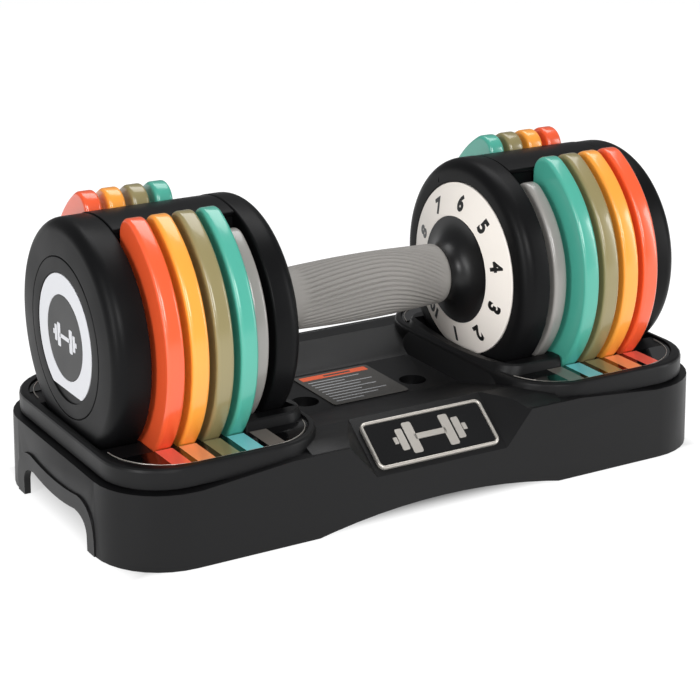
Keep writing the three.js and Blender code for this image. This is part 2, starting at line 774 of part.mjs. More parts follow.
// The stretch of flange that is at the bottom from one setting to another. A setting's own sector is
// at the bottom when the selector has turned by a step for each setting from the one shown.
function flangeArc(x0, x1, [first, last]) {
  const { flangeInner, radius } = SELECTOR;
  const angleOf = (setting) =>
    THREE.MathUtils.degToRad(-90 + SETTING_STEP * (SETTING_SHOWN - setting));
  const half = THREE.MathUtils.degToRad(SETTING_STEP / 2 - 1);
  const from = angleOf(last) - half;
  const to = angleOf(first) + half;
  const shape = new THREE.Shape();
  shape.absarc(0, 0, radius - 0.2, from, to, false);
  shape.absarc(0, 0, flangeInner, to, from, true);
  const steps = 2 * (last - first + 1);
  return prismX(shape, x0, x1, steps).translate([0, 0, AXIS_Z]);
}

function selectorDisc(plate) {
  const { hub, radius, clear } = SELECTOR;
  const face = plate.x + plate.thick;
  const { web, flange } = plate.colour === "red" ? SELECTOR.narrow : SELECTOR;
  const webX = face + clear + flange;
  const disc = tube(webX, webX + web, hub, radius, INNER_FACETS);
  const arcs = CARRIED_AT[plate.colour].map((run) => flangeArc(face + clear, webX + 0.2, run));
  return join(disc, ...arcs);
}
for (const plate of PLATES) {
  placePair("selector", "selector_disc_" + plate.colour, selectorDisc(plate), FINISH.steel);
}

// ---------------------------------------------------------------- plates
// A plate is a thick disc with a slot open at the top, so the shaft drops in, and two rounded horns.
function plateOutline({ radius, corner }) {
  const shape = new THREE.Shape();
  const reach = radius - corner;
  const cornerY = SLOT_HALF + corner;
  const cornerZ = Math.sqrt(reach * reach - cornerY * cornerY);
  const horn = Math.atan2(cornerZ, cornerY);
  shape.absarc(cornerY, cornerZ, corner, horn, Math.PI, false);
  const low = -SLOT_BOTTOM;
  const side = SLOT_HALF - SLOT_CORNER;
  shape.absarc(side, low + SLOT_CORNER, SLOT_CORNER, 0, -Math.PI / 2, true);
  shape.absarc(-side, low + SLOT_CORNER, SLOT_CORNER, -Math.PI / 2, -Math.PI, true);
  shape.absarc(-cornerY, cornerZ, corner, 0, Math.PI - horn, false);
  shape.absarc(0, 0, radius, Math.PI - horn, 2 * Math.PI + horn, false);
  return shape;
}

// Points of the outline with a spacing that suits each arc.
function plateSection(plate) {
  const fine = plateOutline(plate).curves.flatMap((curve) => {
    const sweep = Math.abs(curve.aEndAngle - curve.aStartAngle) * (curve.xRadius ?? 0);
    const parts = curve.isEllipseCurve ? Math.max(3, Math.round(sweep / 10)) : 1;
    return curve.getPoints(parts).slice(0, -1);
  });
  return fine.map((p) => [p.x, p.y + AXIS_Z + plate.lift]);
}

function weightPlate(plate) {
  const slab = prismX(plateSection(plate), plate.x, plate.x + plate.thick);
  const face = plate.x + plate.thick;
  const proud = plate.colour === "red" ? TAB.narrowProud : TAB.proud;
  const tab = box(
    [face - 1, -TAB.halfWidth, AXIS_Z - TAB.outerRadius],
    [face + proud, TAB.halfWidth, AXIS_Z - TAB.innerRadius],
  );
  return join(slab, tab);
}
for (const plate of PLATES) {
  placePair("plates", "plate_" + plate.colour, weightPlate(plate), FINISH[plate.colour]);
}

// ---------------------------------------------------------------- docking locks
// A slider in each inner disc drops into the index ring when the dumbbell leaves the tray.
function lockSlider() {
  const { stemHalfWidth, stemInX, stemOutX, toothInX, toothHalfWidth } = LOCK;
  const top = AXIS_Z - LOCK.toothTopBelowAxis;
  const stem = box([stemInX, -stemHalfWidth, LOCK_FOOT_Z], [stemOutX, stemHalfWidth, top]);
  const tooth = box(
    [toothInX, -toothHalfWidth, top - LOCK.toothHeight],
    [stemInX + 0.5, toothHalfWidth, top],
  );
  return join(stem, tooth);
}
placePair("locks", "lock_slider", lockSlider(), FINISH.steel);

// The spring that pushes the slider down stands between it and the disc's seat.
function lockSpring() {
  const bottom = AXIS_Z - LOCK.toothTopBelowAxis + 0.6;
  const top = AXIS_Z - LOCK.seatBelowAxis - 0.6;
  const coilRadius = 1.6;
  const perTurn = 8;
  const steps = 3 * perTurn;
  const coil = new THREE.CatmullRomCurve3(
    Array.from({ length: steps + 1 }, (_, i) => {
      const a = (i / perTurn) * 2 * Math.PI;
      const z = bottom + ((top - bottom) * i) / steps;
      return new THREE.Vector3(LOCK_X + coilRadius * Math.cos(a), coilRadius * Math.sin(a), z);
    }),
  );
  const wire = new THREE.Shape().absarc(0, 0, 0.35, 0, 2 * Math.PI, false);
  return solid(new THREE.ExtrudeGeometry(wire, { extrudePath: coil, steps, curveSegments: 2 }));
}
placePair("locks", "lock_spring", lockSpring(), FINISH.steel);

export default dumbbellOnTray;
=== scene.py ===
# An adjustable dumbbell docked in its storage tray. Lengths in the sections are millimetres.
from math import atan2, cos, pi, radians, sin, sqrt, tan

import bmesh
import bpy
from mathutils import Matrix, Vector


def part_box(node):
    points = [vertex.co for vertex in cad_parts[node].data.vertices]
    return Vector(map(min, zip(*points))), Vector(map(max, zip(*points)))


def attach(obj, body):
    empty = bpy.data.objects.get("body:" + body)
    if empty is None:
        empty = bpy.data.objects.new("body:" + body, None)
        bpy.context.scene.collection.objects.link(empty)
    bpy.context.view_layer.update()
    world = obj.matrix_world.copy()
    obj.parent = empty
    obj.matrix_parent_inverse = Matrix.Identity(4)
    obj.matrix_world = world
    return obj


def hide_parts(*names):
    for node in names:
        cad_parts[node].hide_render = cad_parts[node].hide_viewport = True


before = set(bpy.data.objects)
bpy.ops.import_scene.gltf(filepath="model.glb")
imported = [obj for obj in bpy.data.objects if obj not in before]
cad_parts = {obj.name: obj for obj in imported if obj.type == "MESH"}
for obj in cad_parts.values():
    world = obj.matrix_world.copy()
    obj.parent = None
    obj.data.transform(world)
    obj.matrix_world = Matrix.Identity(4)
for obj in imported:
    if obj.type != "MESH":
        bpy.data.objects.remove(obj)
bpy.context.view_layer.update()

# ---------------------------------------------------------------- studio
# A white acrylic sheet, lit from below, under soft boxes: one in front, a tall one at each side and a broad
# one overhead. A dark mat, cut to the tray's size, lies under the tray and keeps its underside dark. The
# camera stands to the front left, a little above the handle.
MM = 0.001


def linear(colour):
    """An sRGB hex colour as linear RGBA."""
    channels = [int(colour[i : i + 2], 16) / 255 for i in (1, 3, 5)]
    return (*[c / 12.92 if c <= 0.04045 else ((c + 0.055) / 1.055) ** 2.4 for c in channels], 1)


def add_node(tree, kind, settings=None, inputs=None):
    """Adds a node. An input is a value to set, or another node's output to link."""
    made = tree.nodes.new(kind)
    for key, value in (settings or {}).items():
        setattr(made, key, value)
    for key, value in (inputs or {}).items():
        if isinstance(value, bpy.types.NodeSocket):
            tree.links.new(value, made.inputs[key])
        else:
            made.inputs[key].default_value = value
    return made


def new_material(name, colour, roughness, **shader_inputs):
    """A Principled material with its constants set on the shader."""
    made = bpy.data.materials.new(name)
    made.use_nodes = True
    shader = made.node_tree.nodes["Principled BSDF"]
    shader.inputs["Base Color"].default_value = linear(colour)
    shader.inputs["Roughness"].default_value = roughness
    for key, value in shader_inputs.items():
        shader.inputs[key.replace("_", " ")].default_value = value
    return made, made.node_tree, shader


scene = bpy.context.scene
scene.view_settings.view_transform = "Standard"
camera_data = bpy.data.cameras.new("camera")
camera_data.lens = 103.58
camera_data.sensor_width = 36
camera = bpy.data.objects.new("camera", camera_data)
camera.location = (-0.5564, -0.9367, 0.4435)
camera.rotation_euler = (radians(90 - 19.15), 0, radians(-30.46))
scene.collection.objects.link(camera)
scene.camera = camera

world = bpy.data.worlds.new("studio")
world.use_nodes = True
world.node_tree.nodes["Background"].inputs["Color"].default_value = linear("#f4f5f7")
world.node_tree.nodes["Background"].inputs["Strength"].default_value = 0.22
scene.world = world

DUMBBELL_MIDDLE = Vector((0, 0, 0.08))


def softbox(name, place, size, power):
    """A rectangular soft light in metres and watts, aimed at the middle of the dumbbell."""
    light = bpy.data.lights.new(name, "AREA")
    light.shape = "RECTANGLE"
    light.size, light.size_y = size
    light.energy = power
    box = bpy.data.objects.new(name, light)
    box.location = place
    aim = DUMBBELL_MIDDLE - Vector(place)
    box.rotation_euler = aim.to_track_quat("-Z", "Y").to_euler()
    scene.collection.objects.link(box)


softbox("front_box", (-0.45, -1.5, 0.95), (0.45, 0.65), 17)
softbox("left_box", (-1.35, -0.6, 0.55), (0.35, 0.9), 11)
softbox("right_box", (1.25, -1.0, 0.5), (0.3, 0.95), 8)
softbox("top_box", (0.35, 0.5, 1.6), (1.5, 0.9), 17)

FLOOR_HALF = 6.0
floor_mesh = bpy.data.meshes.new("floor")
floor_mesh.from_pydata(
    [(sx * FLOOR_HALF, sy * FLOOR_HALF, 0) for sx, sy in ((-1, -1), (1, -1), (1, 1), (-1, 1))],
    [],
    [(0, 1, 2, 3)],
)
floor = bpy.data.objects.new("floor", floor_mesh)
scene.collection.objects.link(floor)
sheet, sheet_tree, sheet_shader = new_material(
    "backlit_white_acrylic", "#8c8c8c", 0.9, Emission_Color=linear("#ffffff")
)
# Opal acrylic glows evenly, which washes the shadows out. The glow fades to nothing over the mat.
MAT_HALF = (0.187, 0.088)
MAT_FADE_FROM, MAT_FADE_TO = 0.8, 1.0
mat_place = add_node(sheet_tree, "ShaderNodeTexCoord")
mat_shape = add_node(
    sheet_tree,
    "ShaderNodeMapping",
    inputs={"Vector": mat_place.outputs["Object"], "Scale": (1 / MAT_HALF[0], 1 / MAT_HALF[1], 1.0)},
)
mat_reach = add_node(
    sheet_tree,
    "ShaderNodeVectorMath",
    {"operation": "ABSOLUTE"},
    {0: mat_shape.outputs["Vector"]},
)
mat_axes = add_node(sheet_tree, "ShaderNodeSeparateXYZ", inputs={"Vector": mat_reach.outputs[0]})
mat_far = add_node(
    sheet_tree,
    "ShaderNodeMath",
    {"operation": "MAXIMUM"},
    {0: mat_axes.outputs["X"], 1: mat_axes.outputs["Y"]},
)
mat_fade = add_node(
    sheet_tree,
    "ShaderNodeMapRange",
    inputs={
        "Value": mat_far.outputs[0],
        "From Min": MAT_FADE_FROM,
        "From Max": MAT_FADE_TO,
        "To Max": 0.86,
    },
)
sheet_tree.links.new(mat_fade.outputs["Result"], sheet_shader.inputs["Emission Strength"])
floor_mesh.materials.append(sheet)

# ---------------------------------------------------------------- tray
# One large injection moulding in black polypropylene. The tool's walls are spark eroded, which leaves an
# even satin grain, and every outer edge is softly rounded. The end arches have a raised frame.


def fine_grained(name, colour, roughness, grain_mm, relief_mm, **shader_inputs):
    """Moulded plastic, rubber or printed film: a fine even grain, and faint changes of shine across it."""
    shine_patch, shine_change = 35, 0.04
    made, tree, shader = new_material(name, colour, roughness, **shader_inputs)
    place = add_node(tree, "ShaderNodeTexCoord")
    grain = add_node(
        tree,
        "ShaderNodeTexNoise",
        inputs={"Vector": place.outputs["Object"], "Scale": 1 / (grain_mm * MM), "Detail": 3.0},
    )
    bump = add_node(
        tree,
        "ShaderNodeBump",
        inputs={"Height": grain.outputs["Fac"], "Strength": 1.0, "Distance": relief_mm * MM},
    )
    tree.links.new(bump.outputs["Normal"], shader.inputs["Normal"])
    flow = add_node(
        tree,
        "ShaderNodeTexNoise",
        inputs={"Vector": place.outputs["Object"], "Scale": 1 / (shine_patch * MM), "Detail": 2.0},
    )
    shine = add_node(
        tree,
        "ShaderNodeMapRange",
        inputs={
            "Value": flow.outputs["Fac"],
            "From Min": 0.3,
            "From Max": 0.7,
            "To Min": roughness - shine_change,
            "To Max": roughness + shine_change,
        },
    )
    tree.links.new(shine.outputs["Result"], shader.inputs["Roughness"])
    return made


def use_material(piece, material):
    """Makes a material the piece's only one."""
    piece.data.materials.clear()
    piece.data.materials.append(material)


def add_piece(piece, body, slot, material, *nodes):
    """Gives a finished piece its material and its body, and hides the CAD nodes that it stands for. The
    slot is not used.
    """
    use_material(piece, material)
    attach(piece, body)
    if nodes:
        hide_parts(*nodes)


def smooth(mesh, sharp_above=38):
    """Smooth shading, with edges over an angle in degrees kept sharp."""
    mesh.shade_smooth()
    mesh.set_sharp_from_angle(angle=radians(sharp_above))


# Spark-eroded polypropylene: a satin black whose 0.7 mm grain breaks up the highlights.
tray_plastic = fine_grained(
    "polypropylene_spark_grain", "#0f0f10", 0.42, 0.7, 0.02, Specular_IOR_Level=0.22
)

tray_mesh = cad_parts["tray_shell"].data.copy()
shell = bmesh.new()
shell.from_mesh(tray_mesh)
bmesh.ops.remove_doubles(shell, verts=shell.verts, dist=0.002 * MM)
bmesh.ops.dissolve_limit(
    shell,
    angle_limit=radians(1.5),
    verts=shell.verts,
    edges=shell.edges,
    use_dissolve_boundaries=False,
)
shell.to_mesh(tray_mesh)
shell.free()
tray = bpy.data.objects.new("tray", tray_mesh)
scene.collection.objects.link(tray)
edges = tray.modifiers.new("soft_edges", "BEVEL")
edges.limit_method = "ANGLE"
edges.angle_limit = radians(20)
edges.width = 1.1 * MM
edges.segments = 3
edges.harden_normals = True
smooth(tray_mesh, 30)
add_piece(tray, "tray", "tray_plastic", tray_plastic, "tray_shell")

# ---------------------------------------------------------------- feet
# Four round pads of black rubber are pressed into bosses under the tray's corners. Moulded rubber is matt,
# with a coarse soft grain.
foot_rubber = fine_grained("moulded_rubber", "#262626", 0.85, 0.9, 0.03)
for node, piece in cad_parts.items():
    if node.startswith("foot_"):
        use_material(piece, foot_rubber)

# ---------------------------------------------------------------- badge
# A gloss black moulded plate in a satin silver frame, bonded to the sloping bed at the front. It carries a
# raised silver pictogram of a dumbbell.


def solid_mesh(name, points, faces, sharp_above=38):
    """A closed mesh from points in millimetres, with its doubles merged and its faces turned outwards."""
    mesh = bpy.data.meshes.new(name)
    mesh.from_pydata([[c * MM for c in point] for point in points], [], faces)
    work = bmesh.new()
    work.from_mesh(mesh)
    bmesh.ops.remove_doubles(work, verts=work.verts, dist=0.001 * MM)
    bmesh.ops.recalc_face_normals(work, faces=work.faces)
    work.to_mesh(mesh)
    work.free()
    smooth(mesh, sharp_above)
    made = bpy.data.objects.new(name, mesh)
    scene.collection.objects.link(made)
    return made


def rounded(corners, steps=6):
    """A closed outline through (a, b, radius) corners, each corner turned into an arc of its radius."""
    outline = []
    for i, (a, b, radius) in enumerate(corners):
        here = Vector((a, b))
        back = (Vector(corners[i - 1][:2]) - here).normalized()
        ahead = (Vector(corners[(i + 1) % len(corners)][:2]) - here).normalized()
        if radius == 0:
            outline.append((a, b))
            continue
        half = back.angle(ahead) / 2
        centre = here + (back + ahead).normalized() * (radius / sin(half))
        spoke = here + back * (radius / tan(half)) - centre
        turn = (pi - 2 * half) * (1 if back.cross(ahead) < 0 else -1)
        for k in range(steps + 1):
            outline.append(tuple(centre + Matrix.Rotation(turn * k / steps, 2) @ spoke))
    return outline


def rounded_box(half_a, half_b, radius, centre=(0, 0), steps=6):
    """The outline of a rectangle with round corners."""
    a, b = centre
    corners = [
        (a + side_a * half_a, b + side_b * half_b, radius)
        for side_a, side_b in ((-1, -1), (1, -1), (1, 1), (-1, 1))
    ]
    return rounded(corners, steps)


def walls(rows, count, closed=False):
    """Faces between neighbouring rows of points. Each row is a loop of count points."""
    faces = []
    for k in range(rows if closed else rows - 1):
        ahead = (k + 1) % rows
        for i in range(count):
            j = (i + 1) % count
            faces.append((k * count + i, k * count + j, ahead * count + j, ahead * count + i))
    return faces


def joined(name, pieces):
    """One mesh object from several."""
    work = bmesh.new()
    for piece in pieces:
        work.from_mesh(piece.data)
        bpy.data.objects.remove(piece)
    mesh = bpy.data.meshes.new(name)
    work.to_mesh(mesh)
    work.free()
    smooth(mesh)
    made = bpy.data.objects.new(name, mesh)
    scene.collection.objects.link(made)
    return made


def tiles(name, outlines, low, high, place=None, chamfer=0.0):
    """Flat tiles between two heights, in a frame given by a matrix in millimetres."""
    place = place or Matrix.Identity(4)
    pieces = []
    for outline in outlines:
        count = len(outline)
        middle = sum((Vector(p) for p in outline), Vector((0, 0))) / count
        levels = [(low, 0), (high - chamfer, 0), (high, chamfer)]
        points = []
        for height, inset in levels:
            for p in outline:
                reach = Vector(p) - middle
                shrunk = middle + reach * (1 - inset / max(reach.length, 1e-6))
                points.append(place @ Vector((*shrunk, height)))
        ends = [tuple(range(count)), tuple(range(2 * count, 3 * count))]
        pieces.append(solid_mesh(name, points, ends + walls(len(levels), count)))
    return joined(name, pieces)


def dumbbell_mark(width):
    """Outlines of a dumbbell seen from the front: a bar with two pairs of plates and end studs."""
    unit = width / 20
    parts = [rounded_box(4.4 * unit, 0.75 * unit, 0.2 * unit)]
    # Each plate and stud: half width, half height, corner and distance from the middle, in units.
    sizes = ((1.25, 4.2, 0.5, 5.0), (0.95, 2.9, 0.4, 7.7), (0.55, 0.9, 0.2, 9.4))
    for half_a, half_b, corner, away in sizes:
        for side in (-1, 1):
            parts.append(rounded_box(half_a * unit, half_b * unit, corner * unit, (side * away * unit, 0)))
    return parts


def brushed_metal(name, colour, roughness, drawn_out, mark_mm, relief, **shader_inputs):
    """Metal with fine marks that are drawn out along one direction. The relief is (strength, mm)."""
    made, tree, shader = new_material(name, colour, roughness, **shader_inputs)
    place = add_node(tree, "ShaderNodeTexCoord")
    stretch = add_node(
        tree,
        "ShaderNodeMapping",
        inputs={"Vector": place.outputs["Object"], "Scale": drawn_out},
    )
    marks = add_node(
        tree,
        "ShaderNodeTexNoise",
        inputs={"Vector": stretch.outputs["Vector"], "Scale": 1 / (mark_mm * MM), "Detail": 2.0},
    )
    strength, depth_mm = relief
    bump = add_node(
        tree,
        "ShaderNodeBump",
        inputs={"Height": marks.outputs["Fac"], "Strength": strength, "Distance": depth_mm * MM},
    )
    tree.links.new(bump.outputs["Normal"], shader.inputs["Normal"])
    return made


# Polished ABS: a black mirror with a clear skin and hardly any grain.
gloss_black = fine_grained(
    "gloss_black_abs", "#0a0a0b", 0.12, 0.8, 0.0004, Coat_Weight=0.4, Coat_Roughness=0.06
)
# Satin plating: fine brush lines 0.15 mm apart along its length, drawn at 0.4 mm so that they show.
silver = brushed_metal(
    "satin_silver_plate", "#bdb8b1", 0.34, (0.04, 1.0, 1.0), 0.4, (0.6, 0.004), Metallic=0.6
)

BADGE_THICK, BADGE_HALF_HEIGHT, BADGE_CORNER, BADGE_CHAMFER = 1.2, 12.8, 2.0, 0.15
badge_low, badge_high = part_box("badge_plate")
bed_slope = atan2(badge_high.z - badge_low.z, badge_high.y - badge_low.y)
bed = (
    Matrix.Translation((badge_low + badge_high) / 2 / MM)
    @ Matrix.Rotation(bed_slope, 4, "X")
    @ Matrix.Translation((0, 0, -BADGE_THICK / 2))
)
badge_outline = rounded_box((badge_high.x - badge_low.x) / 2 / MM, BADGE_HALF_HEIGHT, BADGE_CORNER)
badge_plate = tiles("badge_face", [badge_outline], 0, BADGE_THICK, bed, BADGE_CHAMFER)
add_piece(badge_plate, "tray", "gloss_black", gloss_black, "badge_plate")

MARK_WIDTH, MARK_SUNK, MARK_PROUD = 47, 0.1, 0.35
badge_mark = tiles(
    "badge_mark", dumbbell_mark(MARK_WIDTH), BADGE_THICK - MARK_SUNK, BADGE_THICK + MARK_PROUD, bed, 0.12
)
add_piece(badge_mark, "tray", "silver_trim", silver)


def frame_ring(name, half_a, half_b, corner, width, height, place):
    """A picture frame with a half-round section, its sides upright below the round."""
    steps, upright = 8, 0.45
    section = [(0, 0)]
    for k in range(steps + 1):
        angle = pi * k / steps
        round_part = (1 - upright) * sin(angle) if 0 < k < steps else 0
        section.append((width * (1 - cos(angle)) / 2, height * (upright + round_part)))
    section.append((width, 0))
    points = []
    for inset, level in section:
        outline = rounded_box(half_a - inset, half_b - inset, corner - inset, steps=8)
        points += [place @ Vector((*p, level)) for p in outline]
    count = len(points) // len(section)
    return solid_mesh(name, points, walls(len(section), count, closed=True))


FRAME_HALF, FRAME_CORNER, FRAME_WIDTH, FRAME_HEIGHT = (39, 15), 4, 1.9, 2.2
badge_frame = frame_ring("badge_surround", *FRAME_HALF, FRAME_CORNER, FRAME_WIDTH, FRAME_HEIGHT, bed)
add_piece(badge_frame, "tray", "silver_trim", silver, "badge_frame")

# ---------------------------------------------------------------- deck label
# A grey printed film on the deck under the grip: an orange band at the rear, and rows of small print that
# are drawn as plain bars.

# Printed film and its inks are satin, and almost smooth.
FILM_GRAIN, FILM_RELIEF = 0.5, 0.0015
film = fine_grained("grey_printed_film", "#454340", 0.4, FILM_GRAIN, FILM_RELIEF)
ink_orange = fine_grained("orange_ink", "#e8633a", 0.42, FILM_GRAIN, FILM_RELIEF)
ink_pale = fine_grained("pale_ink", "#a9aaad", 0.45, FILM_GRAIN, FILM_RELIEF)

label_low, label_high = (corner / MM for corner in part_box("deck_label"))
label_middle = ((label_low.x + label_high.x) / 2, (label_low.y + label_high.y) / 2)
label_half = ((label_high.x - label_low.x) / 2, (label_high.y - label_low.y) / 2)
LABEL_CORNER, LABEL_MARGIN = 2.5, 4
label_top = label_high.z - 0.1
label_outline = rounded_box(*label_half, LABEL_CORNER, label_middle)
label_sheet = tiles("deck_film", [label_outline], label_low.z, label_top, chamfer=0.05)
add_piece(label_sheet, "tray", "label_print", film, "deck_label")

BAND_HALF, BAND_FROM_EDGE = 2.9, 5.5
band_y = label_high.y - BAND_FROM_EDGE
band_outline = rounded_box(label_half[0] - 3, BAND_HALF, 0.6, (label_middle[0], band_y))
band = tiles("deck_film_band", [band_outline], label_top - 0.05, label_top + 0.05)
add_piece(band, "tray", "label_print", ink_orange)

ROW_HALF_LENGTHS = (17, 11, 19, 14, 18, 12, 19, 15, 9)
FIRST_ROW, ROW_PITCH, ROW_HALF_HEIGHT = 7, 4.1, 0.5
print_rows = []
for row, half_length in enumerate(ROW_HALF_LENGTHS):
    row_middle = (label_low.x + LABEL_MARGIN + half_length, band_y - FIRST_ROW - row * ROW_PITCH)
    print_rows.append(rounded_box(half_length, ROW_HALF_HEIGHT, 0.2, row_middle, steps=2))
small_print = tiles("deck_film_print", print_rows, label_top - 0.05, label_top + 0.05)
add_piece(small_print, "tray", "label_print", ink_pale)
band_marks = [rounded_box(9, 1.0, 0.3, (label_middle[0] + 2, band_y), steps=2)]
band_print = tiles("deck_film_band_print", band_marks, label_top, label_top + 0.1)
add_piece(band_print, "tray", "label_print", film)

# ---------------------------------------------------------------- gauge panels
# Gloss black polyester film with one colour strip in line with each plate, printed on its back, so the
# surface is flat and shiny. A bright line is left along its outer edge.
STRIPS = (
    ("grey", "#6d6762"),
    ("teal", "#79c9cf"),
    ("olive", "#84805c"),
    ("orange", "#f2a06c"),
    ("red", "#ee6a58"),
)


def arc(centre_a, centre_b, radius, start, end, steps):
    """Points along an arc of a circle, from one angle to another."""
    return [
        (
            centre_a + radius * cos(start + (end - start) * k / steps),
            centre_b + radius * sin(start + (end - start) * k / steps),
        )
        for k in range(steps + 1)
    ]


def node_group(name, inputs):
    """A Geometry Nodes tree with one mesh in, one mesh out, and named number inputs."""
    tree = bpy.data.node_groups.new(name, "GeometryNodeTree")
    tree.interface.new_socket("Geometry", in_out="INPUT", socket_type="NodeSocketGeometry")
    tree.interface.new_socket("Geometry", in_out="OUTPUT", socket_type="NodeSocketGeometry")
    for label in inputs:
        tree.interface.new_socket(label, in_out="INPUT", socket_type="NodeSocketFloat")
    tree.interface.new_socket("Material", in_out="INPUT", socket_type="NodeSocketMaterial")
    return tree


def apply_nodes(piece, tree, values):
    """Runs a Geometry Nodes tree on a piece and keeps the result as its plain mesh."""
    modifier = piece.modifiers.new(tree.name, "NODES")
    modifier.node_group = tree
    for item in tree.interface.items_tree:
        if item.in_out == "INPUT" and item.name in values:
            modifier[item.identifier] = values[item.name]
    evaluated = piece.evaluated_get(bpy.context.evaluated_depsgraph_get())
    mesh = bpy.data.meshes.new_from_object(evaluated)
    piece.modifiers.remove(modifier)
    name = piece.name
    bpy.data.objects.remove(piece)
    made = bpy.data.objects.new(name, mesh)
    scene.collection.objects.link(made)
    return made


def end_tree(tree, group_in, geometry):
    """The end of every tree: instances made real, the material set, and the mesh handed out."""
    real = add_node(tree, "GeometryNodeRealizeInstances", inputs={"Geometry": geometry})
    look = add_node(
        tree,
        "GeometryNodeSetMaterial",
        inputs={"Geometry": real.outputs[0], "Material": group_in.outputs["Material"]},
    )
    add_node(tree, "NodeGroupOutput", inputs={"Geometry": look.outputs[0]})


# The print lies under a clear gloss film, so its colours change sharply and its surface doesn't.
PANEL_BLACK = "#070708"
gauge_film, gauge_tree, gauge_shader = new_material(
    "printed_polyester_film", PANEL_BLACK, 0.1, Coat_Weight=0.3, Coat_Roughness=0.05
)
STRIP_WIDTH = 10.0 * MM
gauge_place = add_node(gauge_tree, "ShaderNodeTexCoord")
gauge_axes = add_node(gauge_tree, "ShaderNodeSeparateXYZ", inputs={"Vector": gauge_place.outputs["Object"]})
from_middle = add_node(
    gauge_tree,
    "ShaderNodeMath",
    {"operation": "ABSOLUTE"},
    {0: gauge_axes.outputs["X"]},
)
under = linear(PANEL_BLACK)
for plate, ink in STRIPS:
    plate_low, plate_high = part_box(f"plate_{plate}_right")
    on_strip = add_node(
        gauge_tree,
        "ShaderNodeMath",
        {"operation": "COMPARE"},
        {0: from_middle.outputs[0], 1: (plate_low.x + plate_high.x) / 2, 2: STRIP_WIDTH / 2},
    )
    printed = add_node(
        gauge_tree,
        "ShaderNodeMix",
        {"data_type": "RGBA"},
        {"Factor": on_strip.outputs[0], 6: under, 7: linear(ink)},
    )
    under = printed.outputs[2]
gauge_tree.links.new(under, gauge_shader.inputs["Base Color"])
for end in ("front", "rear"):
    for side in ("left", "right"):
        use_material(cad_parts[f"gauge_panel_{end}_{side}"], gauge_film)

# The bright line is a bead of rectangular section, swept along the panel's edge.
bead_tree = node_group("bead_along_a_line", ("Width", "Height"))
bead_in = add_node(bead_tree, "NodeGroupInput")
bead_path = add_node(bead_tree, "GeometryNodeMeshToCurve", inputs={"Mesh": bead_in.outputs["Geometry"]})
bead_section = add_node(
    bead_tree,
    "GeometryNodeCurvePrimitiveQuadrilateral",
    inputs={"Width": bead_in.outputs["Height"], "Height": bead_in.outputs["Width"]},
)
bead_sweep = add_node(
    bead_tree,
    "GeometryNodeCurveToMesh",
    inputs={"Curve": bead_path.outputs[0], "Profile Curve": bead_section.outputs[0], "Fill Caps": True},
)
end_tree(bead_tree, bead_in, bead_sweep.outputs[0])

LINE_WIDTH, LINE_HEIGHT, LINE_RAISED, LINE_FROM_EDGE = 0.7, 0.3, 0.12, 0.5
INNER_CORNER, OUTER_CORNER = 31.1, 34.7
for end, sy in (("front", -1), ("rear", 1)):
    for side, sx in (("left", -1), ("right", 1)):
        low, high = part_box(f"gauge_panel_{end}_{side}")
        inner, outer = sorted((abs(low.x) / MM, abs(high.x) / MM))
        depth = max(abs(low.y), abs(high.y)) / MM
        inner_x = inner + LINE_FROM_EDGE + INNER_CORNER
        outer_x = outer - LINE_FROM_EDGE - OUTER_CORNER
        inner_y, outer_y = depth - LINE_FROM_EDGE - INNER_CORNER, depth - LINE_FROM_EDGE - OUTER_CORNER
        path = arc(inner_x, inner_y, INNER_CORNER, pi * 0.93, pi / 2, 16)
        path += arc(outer_x, outer_y, OUTER_CORNER, pi / 2, 0, 16)
        line = bpy.data.meshes.new("panel_edge")
        line.from_pydata(
            [(sx * x * MM, sy * y * MM, high.z + LINE_RAISED * MM) for x, y in path],
            [(k, k + 1) for k in range(len(path) - 1)],
            [],
        )
        trim = bpy.data.objects.new(f"panel_trim_{end}_{side}", line)
        scene.collection.objects.link(trim)
        trim = apply_nodes(
            trim,
            bead_tree,
            {"Width": LINE_WIDTH * MM, "Height": LINE_HEIGHT * MM, "Material": silver},
        )
        add_piece(trim, "tray", "silver_trim", silver)

# ---------------------------------------------------------------- axle, nuts and locks
# Turned and zinc-plated steel: the axle, its nuts, the lock sliders and springs, and everything that turns
# inside the heads. Tool marks run round the axle, 0.1 mm apart, drawn at 0.5 mm so that they show.
SIDES = (("right", 1), ("left", -1))
axle_low, axle_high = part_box("core_axle")
AXIS = (axle_low.z + axle_high.z) / 2 / MM

steel = brushed_metal(
    "zinc_plated_steel", "#b4b6ba", 0.3, (1.0, 0.06, 0.06), 0.5, (0.5, 0.005), Metallic=1.0
)
INNER_STEEL = (
    "core_axle",
    "axle_nut",
    "lock_slider",
    "lock_spring",
    "grip_core",
    "index_ring",
    "selector_",
)
for node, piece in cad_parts.items():
    if node.startswith(INNER_STEEL):
        use_material(piece, steel)

# ---------------------------------------------------------------- inner discs
# A deep moulded cup closes each head towards the grip. Its outer edge is a large soft round, and a small
# pointer is moulded on it at the dial's reading place.


def turned(name, side, profile, segments=144, sharp_above=38):
    """A closed (x, radius) outline turned about the handle's axis, on one side of the middle."""
    points = []
    for k in range(segments):
        angle = 2 * pi * k / segments
        points += [(side * x, r * sin(angle), AXIS + r * cos(angle)) for x, r in profile]
    faces = walls(segments, len(profile), closed=True)
    return solid_mesh(name, points, faces, sharp_above)


def carved(piece, cutter):
    """Cuts one closed mesh out of another."""
    cut = piece.modifiers.new("cut", "BOOLEAN")
    cut.object = cutter
    cut.solver = "EXACT"
    evaluated = piece.evaluated_get(bpy.context.evaluated_depsgraph_get())
    mesh = bpy.data.meshes.new_from_object(evaluated)
    piece.modifiers.clear()
    piece.data = mesh
    bpy.data.objects.remove(cutter)
    smooth(mesh)
    return piece


